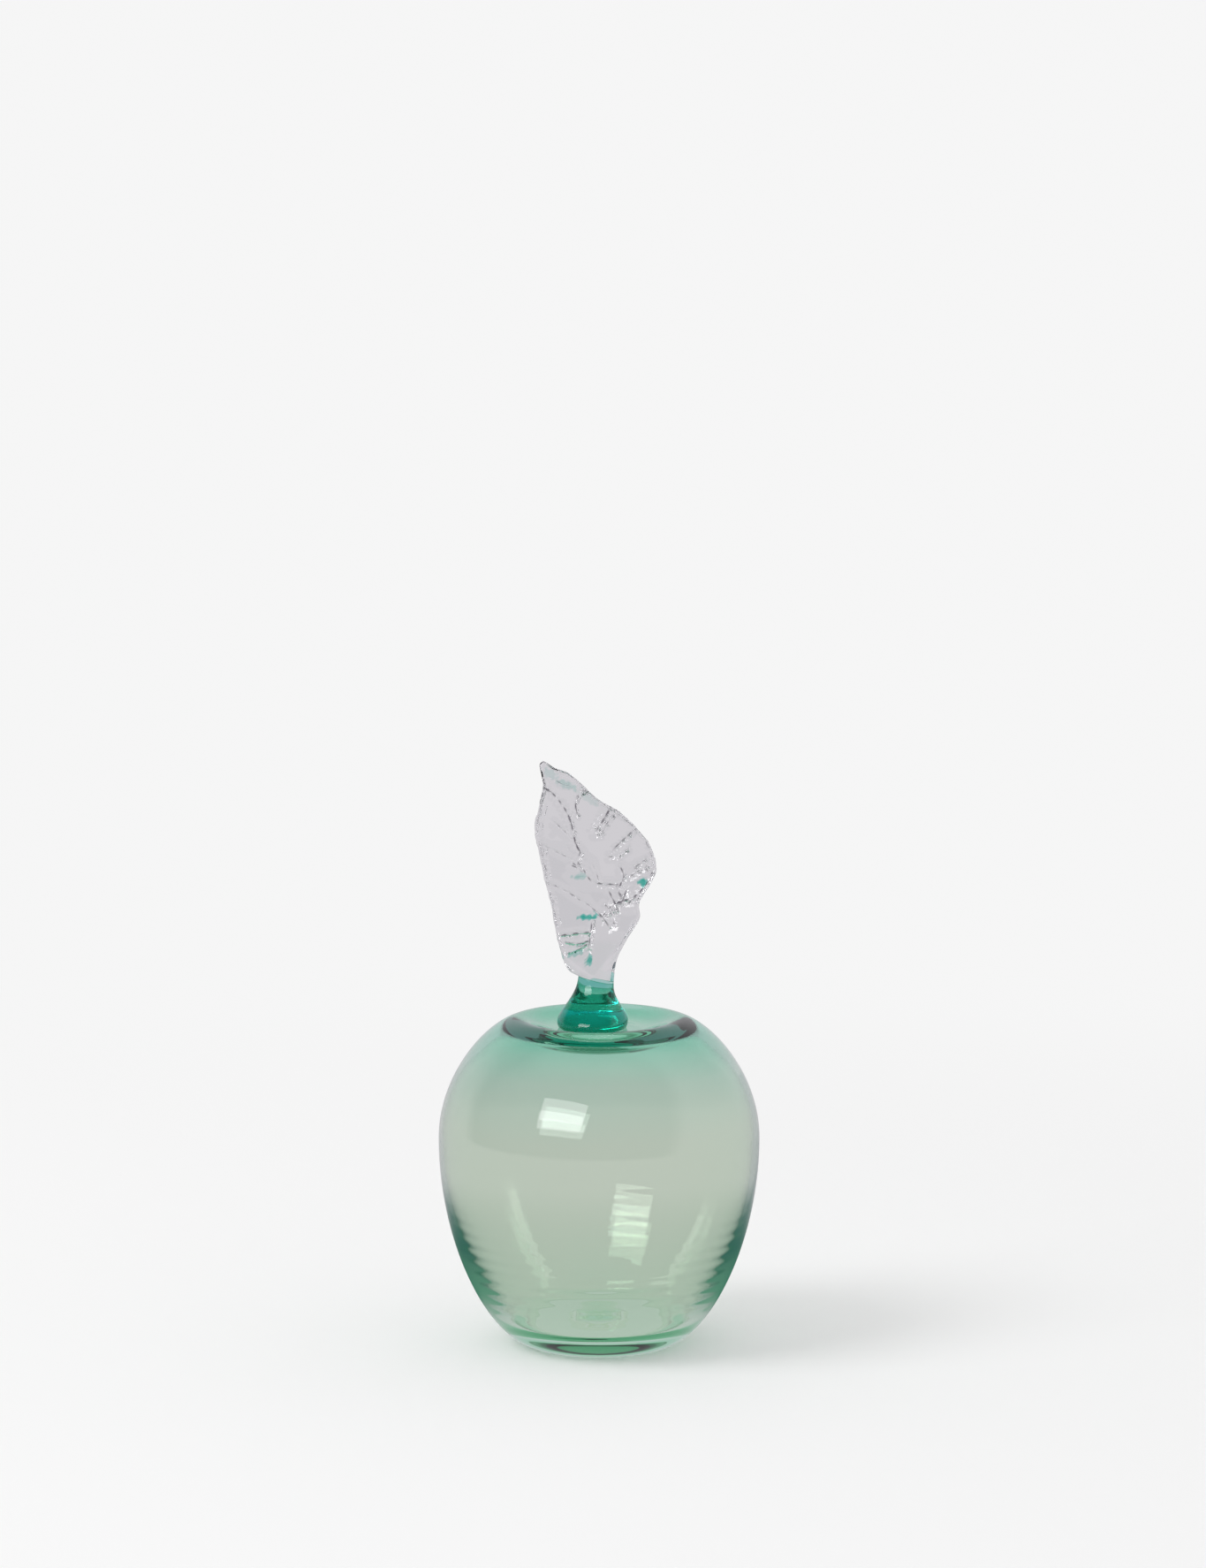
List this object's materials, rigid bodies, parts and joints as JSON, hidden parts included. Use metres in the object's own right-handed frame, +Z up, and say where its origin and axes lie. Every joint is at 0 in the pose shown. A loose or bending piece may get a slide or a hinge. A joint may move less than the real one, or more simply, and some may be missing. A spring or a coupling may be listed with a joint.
{
  "type": "glass apple paperweight",
  "caption": "Hollow blown-glass apple that stands on a flat base, with a solid coloured stem in the top dimple and an upright clear pressed leaf.",
  "frame": {"origin": "centre of the ring on which the base stands, on the surface that the apple rests on", "axes": "+Z up along the axis of the blown body, -Y towards the viewer of the picture, +X to the right in it"},
  "size_m": [0.089, 0.089, 0.1633],
  "materials": {
    "glass_green": "polished, blown",
    "glass_teal": "polished, fire-finished",
    "glass_clear": "polished, pressed veins"
  },
  "bodies": {
    "root": {"apple_body": "glass_green", "stem": "glass_teal", "leaf": "glass_clear", "pontil_button": "glass_green"}
  },
  "joints": []
}
